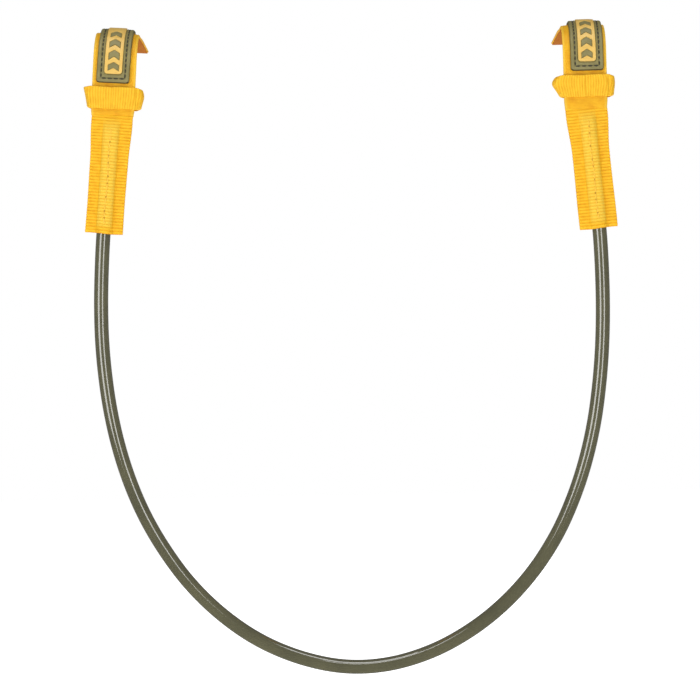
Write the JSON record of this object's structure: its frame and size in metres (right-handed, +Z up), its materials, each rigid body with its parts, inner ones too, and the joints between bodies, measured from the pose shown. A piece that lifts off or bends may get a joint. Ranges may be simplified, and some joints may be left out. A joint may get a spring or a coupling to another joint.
{
  "type": "harness line",
  "caption": "Flexible tube-covered rope hung in a U between two webbing boom straps, each with a hook-and-loop tail, a keeper loop and a stitched rubber patch.",
  "frame": {"origin": "on the axis of the boom that the straps wrap, midway between the two straps", "axes": "+X along the boom, +Y away from the rider, +Z up; the line hangs down -Z"},
  "size_m": [0.307, 0.1122, 0.3759],
  "materials": {
    "webbing": "ribbed polyester webbing",
    "loop_tape": "soft loop pile",
    "hook_tape": "hook tape",
    "rubber": "moulded soft rubber, matt",
    "inlay": "moulded soft rubber, satin",
    "dark_thread": "bonded thread",
    "yellow_thread": "bonded thread",
    "tube": "glossy translucent-looking polyurethane",
    "rope": "braided rope"
  },
  "bodies": {
    "left_head": {"left_strap_panel": "webbing", "left_loop_tape": "loop_tape", "left_strap_first_bend": "webbing", "left_patch_base": "rubber", "left_patch_inlay": "inlay", "left_patch_seam": "dark_thread"},
    "left_tail_near": {"left_strap_tail_near": "webbing", "left_hook_tape_near": "hook_tape", "left_strap_second_bend": "webbing"},
    "left_tail_end": {"left_strap_tail_end": "webbing", "left_hook_tape_end": "hook_tape"},
    "left_keeper": {"left_keeper": "webbing", "left_keeper_seam": "yellow_thread"},
    "line_left": {"left_neck_webbing": "webbing", "left_sleeve_front": "webbing", "left_sleeve_back": "webbing", "left_sleeve_seam": "yellow_thread", "tube_left": "tube", "rope_core_left": "rope", "tube_bend": "tube", "rope_core_bend": "rope"},
    "line_right": {"right_sleeve_front": "webbing", "right_sleeve_back": "webbing", "right_sleeve_seam": "yellow_thread", "right_neck_webbing": "webbing", "tube_right": "tube", "rope_core_right": "rope"},
    "right_head": {"right_strap_panel": "webbing", "right_loop_tape": "loop_tape", "right_strap_first_bend": "webbing", "right_patch_base": "rubber", "right_patch_inlay": "inlay", "right_patch_seam": "dark_thread"},
    "right_tail_near": {"right_strap_tail_near": "webbing", "right_hook_tape_near": "hook_tape", "right_strap_second_bend": "webbing"},
    "right_tail_end": {"right_strap_tail_end": "webbing", "right_hook_tape_end": "hook_tape"},
    "right_keeper": {"right_keeper": "webbing", "right_keeper_seam": "yellow_thread"}
  },
  "joints": [
    {"name": "left_strap_wrap", "type": "hinge", "parent": "left_head", "child": "left_tail_near", "pos_m": [-0.13394, 0.02044, 0.01644], "axis": [-0.9979, 0, 0.0645], "range_deg": [-45, 90], "stiffness_Nm_per_rad": 0.05, "deforming": ["left_strap_first_bend"]},
    {"name": "left_tail_tuck", "type": "hinge", "parent": "left_tail_near", "child": "left_tail_end", "pos_m": [-0.134, 0.05443, 0.01555], "axis": [-0.9979, 0, 0.0645], "range_deg": [-30, 45], "stiffness_Nm_per_rad": 0.05, "deforming": ["left_strap_second_bend"]},
    {"name": "left_keeper_slide", "type": "slide", "parent": "left_head", "child": "left_keeper", "axis": [0.0645, 0, 0.9979], "range_m": [-0.0035, 0.0015]},
    {"name": "right_strap_wrap", "type": "hinge", "parent": "right_head", "child": "right_tail_near", "pos_m": [0.13483, 0.02044, 0.01647], "axis": [-0.9999, 0, -0.0105], "range_deg": [-45, 90], "stiffness_Nm_per_rad": 0.05, "deforming": ["right_strap_first_bend"]},
    {"name": "right_tail_tuck", "type": "hinge", "parent": "right_tail_near", "child": "right_tail_end", "pos_m": [0.13484, 0.05443, 0.01558], "axis": [-0.9999, 0, -0.0105], "range_deg": [-30, 45], "stiffness_Nm_per_rad": 0.05, "deforming": ["right_strap_second_bend"]},
    {"name": "right_keeper_slide", "type": "slide", "parent": "right_head", "child": "right_keeper", "axis": [-0.0105, 0, 0.9999], "range_m": [-0.0035, 0.0015]},
    {"name": "left_neck_flex", "type": "hinge", "parent": "left_head", "child": "line_left", "pos_m": [-0.13697, -0.017, -0.03045], "axis": [-1, 0, 0], "range_deg": [-10, 50], "deforming": ["left_neck_webbing"]},
    {"name": "line_flex", "type": "hinge", "parent": "line_left", "child": "line_right", "pos_m": [0, -0.017, -0.35], "axis": [0, 1, 0], "range_deg": [-30, 40], "stiffness_Nm_per_rad": 1, "springref_deg": -3.44, "deforming": ["tube_bend", "rope_core_bend"]},
    {"name": "right_neck_flex", "type": "hinge", "parent": "line_right", "child": "right_head", "pos_m": [0.13532, -0.017, -0.03045], "axis": [1, 0, 0], "range_deg": [-10, 50], "deforming": ["right_neck_webbing"]}
  ],
  "couplings": [
    {"joint": "right_neck_flex", "follows": "left_neck_flex", "ratio": 1}
  ]
}
